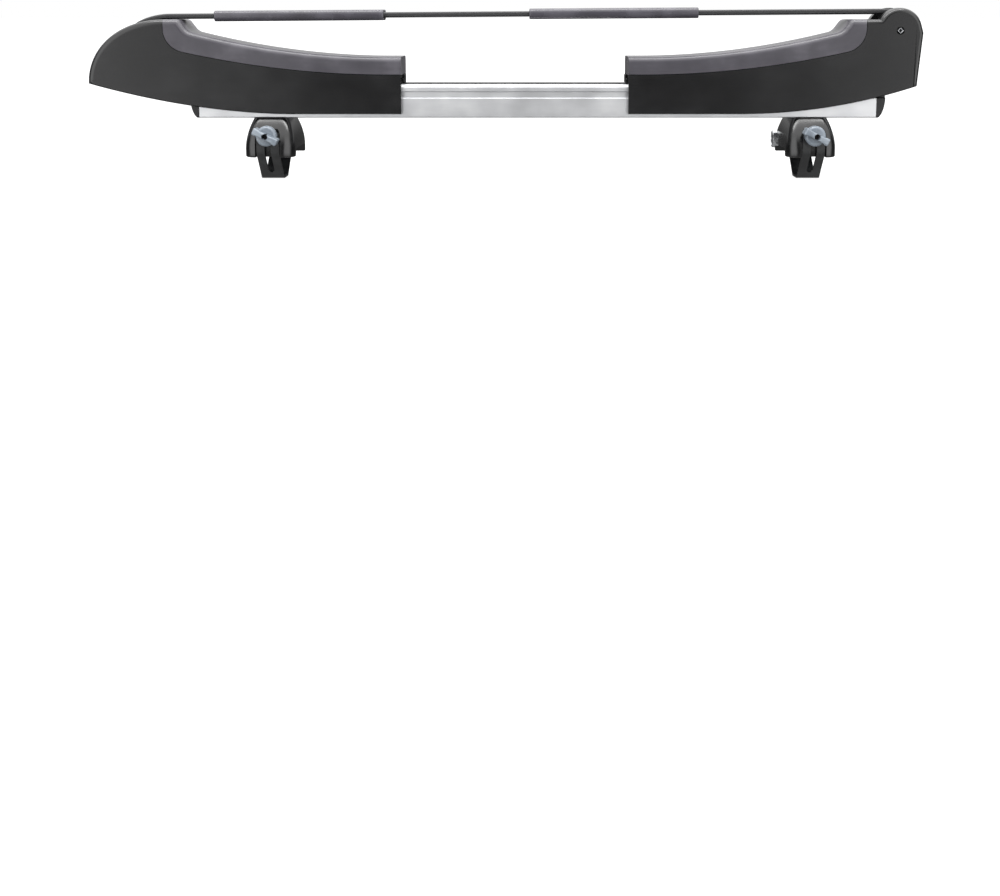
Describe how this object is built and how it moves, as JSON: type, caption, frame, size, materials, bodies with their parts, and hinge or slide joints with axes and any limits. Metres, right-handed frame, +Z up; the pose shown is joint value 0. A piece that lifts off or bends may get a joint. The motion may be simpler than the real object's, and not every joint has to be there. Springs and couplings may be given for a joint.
{
  "type": "paddleboard roof carrier",
  "caption": "Roof carrier for one paddleboard: two padded sliding arms on a metal rail, a strap over the top, and two clamp feet with wing knobs.",
  "frame": {"origin": "midway along the rail, at the height where the rubber seats rest on the load bar", "axes": "+X along the rail towards the roller end, +Y to the back, away from the wing knobs, +Z up from the load bar to the board"},
  "size_m": [0.9165, 0.1182, 0.1892],
  "materials": {
    "alloy": "satin anodised extrusion",
    "plastic": "fine-textured injection moulding",
    "rubber_grey": "matt grey pad rubber",
    "seat_black": "matt black ribbed rubber",
    "webbing": "woven webbing over a steel core",
    "steel": "zinc plated",
    "knob_grey": "light grey moulding",
    "band_grey": "black powder coat on steel"
  },
  "bodies": {
    "chassis": {"rail": "alloy", "left_rail_cap": "plastic", "right_rail_cap": "plastic", "latch_rack": "plastic", "strap": "webbing", "left_foot": "plastic", "left_seat_pad": "seat_black", "left_foot_bolts": "steel", "left_hinge_pin": "steel", "left_clamp_bolt": "steel", "right_foot": "plastic", "right_seat_pad": "seat_black", "right_foot_bolts": "steel", "right_hinge_pin": "steel", "right_clamp_bolt": "steel"},
    "left_arm": {"left_arm_housing": "plastic", "left_pad": "rubber_grey", "left_release_pin": "steel", "nose_lock_bezel": "plastic", "strap_tongue": "steel"},
    "right_arm": {"right_arm_housing": "plastic", "right_pad": "rubber_grey", "right_release_pin": "steel", "roller_bolt": "steel", "roller_nut": "steel", "cam_pin": "steel"},
    "left_release": {"left_release_lever": "plastic", "left_release_spring": "steel"},
    "right_release": {"right_release_lever": "plastic", "right_release_spring": "steel"},
    "nose_lock": {"nose_lock_cylinder": "steel"},
    "roller": {"strap_roller": "plastic"},
    "cam": {"cam_lever": "steel"},
    "left_sleeve_body": {"left_sleeve": "rubber_grey"},
    "right_sleeve_body": {"right_sleeve": "rubber_grey"},
    "left_knob": {"left_wing_knob": "knob_grey"},
    "left_band": {"left_clamp_band": "band_grey"},
    "left_lock": {"left_foot_lock": "alloy"},
    "right_knob": {"right_wing_knob": "knob_grey"},
    "right_band": {"right_clamp_band": "band_grey"},
    "right_lock": {"right_foot_lock": "alloy"}
  },
  "joints": [
    {"name": "left_arm_slide", "type": "slide", "parent": "chassis", "child": "left_arm", "axis": [-1, 0, 0], "range_m": [0, 0.084], "deforming": ["strap"]},
    {"name": "right_arm_slide", "type": "slide", "parent": "chassis", "child": "right_arm", "axis": [1, 0, 0], "range_m": [0, 0.084], "deforming": ["strap"]},
    {"name": "left_release_hinge", "type": "hinge", "parent": "left_arm", "child": "left_release", "pos_m": [-0.1844, 0, 0.077], "axis": [0, -1, 0], "range_deg": [0, 6], "stiffness_Nm_per_rad": 2, "springref_deg": -2.86, "deforming": ["left_release_spring"]},
    {"name": "right_release_hinge", "type": "hinge", "parent": "right_arm", "child": "right_release", "pos_m": [0.1339, 0, 0.077], "axis": [0, 1, 0], "range_deg": [0, 6], "stiffness_Nm_per_rad": 2, "springref_deg": -2.86, "deforming": ["right_release_spring"]},
    {"name": "nose_lock_turn", "type": "hinge", "parent": "left_arm", "child": "nose_lock", "pos_m": [-0.4915, 0, 0.09], "axis": [1, 0, 0], "range_deg": [0, 90]},
    {"name": "roller_spin", "type": "hinge", "parent": "right_arm", "child": "roller", "pos_m": [0.3969, 0, 0.1316], "axis": [0, 1, 0], "continuous": true},
    {"name": "cam_hinge", "type": "hinge", "parent": "right_arm", "child": "cam", "pos_m": [0.4145, 0, 0.097], "axis": [0, -1, 0], "range_deg": [0, 20], "stiffness_Nm_per_rad": 0.3, "springref_deg": -11.46},
    {"name": "left_sleeve_slide", "type": "slide", "parent": "chassis", "child": "left_sleeve_body", "axis": [1, 0, 0.0075], "range_m": [-0.01, 0.1]},
    {"name": "right_sleeve_slide", "type": "slide", "parent": "chassis", "child": "right_sleeve_body", "axis": [1, 0, 0.0075], "range_m": [-0.04, 0.15]},
    {"name": "left_knob_spin", "type": "hinge", "parent": "chassis", "child": "left_knob", "pos_m": [-0.2969, -0.055, 0.0175], "axis": [0, -1, 0], "continuous": true},
    {"name": "left_band_hinge", "type": "hinge", "parent": "chassis", "child": "left_band", "pos_m": [-0.2969, 0.04, 0.007], "axis": [1, 0, 0], "range_deg": [0, 60]},
    {"name": "left_lock_turn", "type": "hinge", "parent": "chassis", "child": "left_lock", "pos_m": [-0.3222, 0.04, 0.007], "axis": [-1, 0, 0], "range_deg": [0, 90]},
    {"name": "right_knob_spin", "type": "hinge", "parent": "chassis", "child": "right_knob", "pos_m": [0.3035, -0.055, 0.0175], "axis": [0, -1, 0], "continuous": true},
    {"name": "right_band_hinge", "type": "hinge", "parent": "chassis", "child": "right_band", "pos_m": [0.3035, 0.04, 0.007], "axis": [1, 0, 0], "range_deg": [0, 60]},
    {"name": "right_lock_turn", "type": "hinge", "parent": "chassis", "child": "right_lock", "pos_m": [0.2728, 0.04, 0.007], "axis": [-1, 0, 0], "range_deg": [0, 90]}
  ]
}
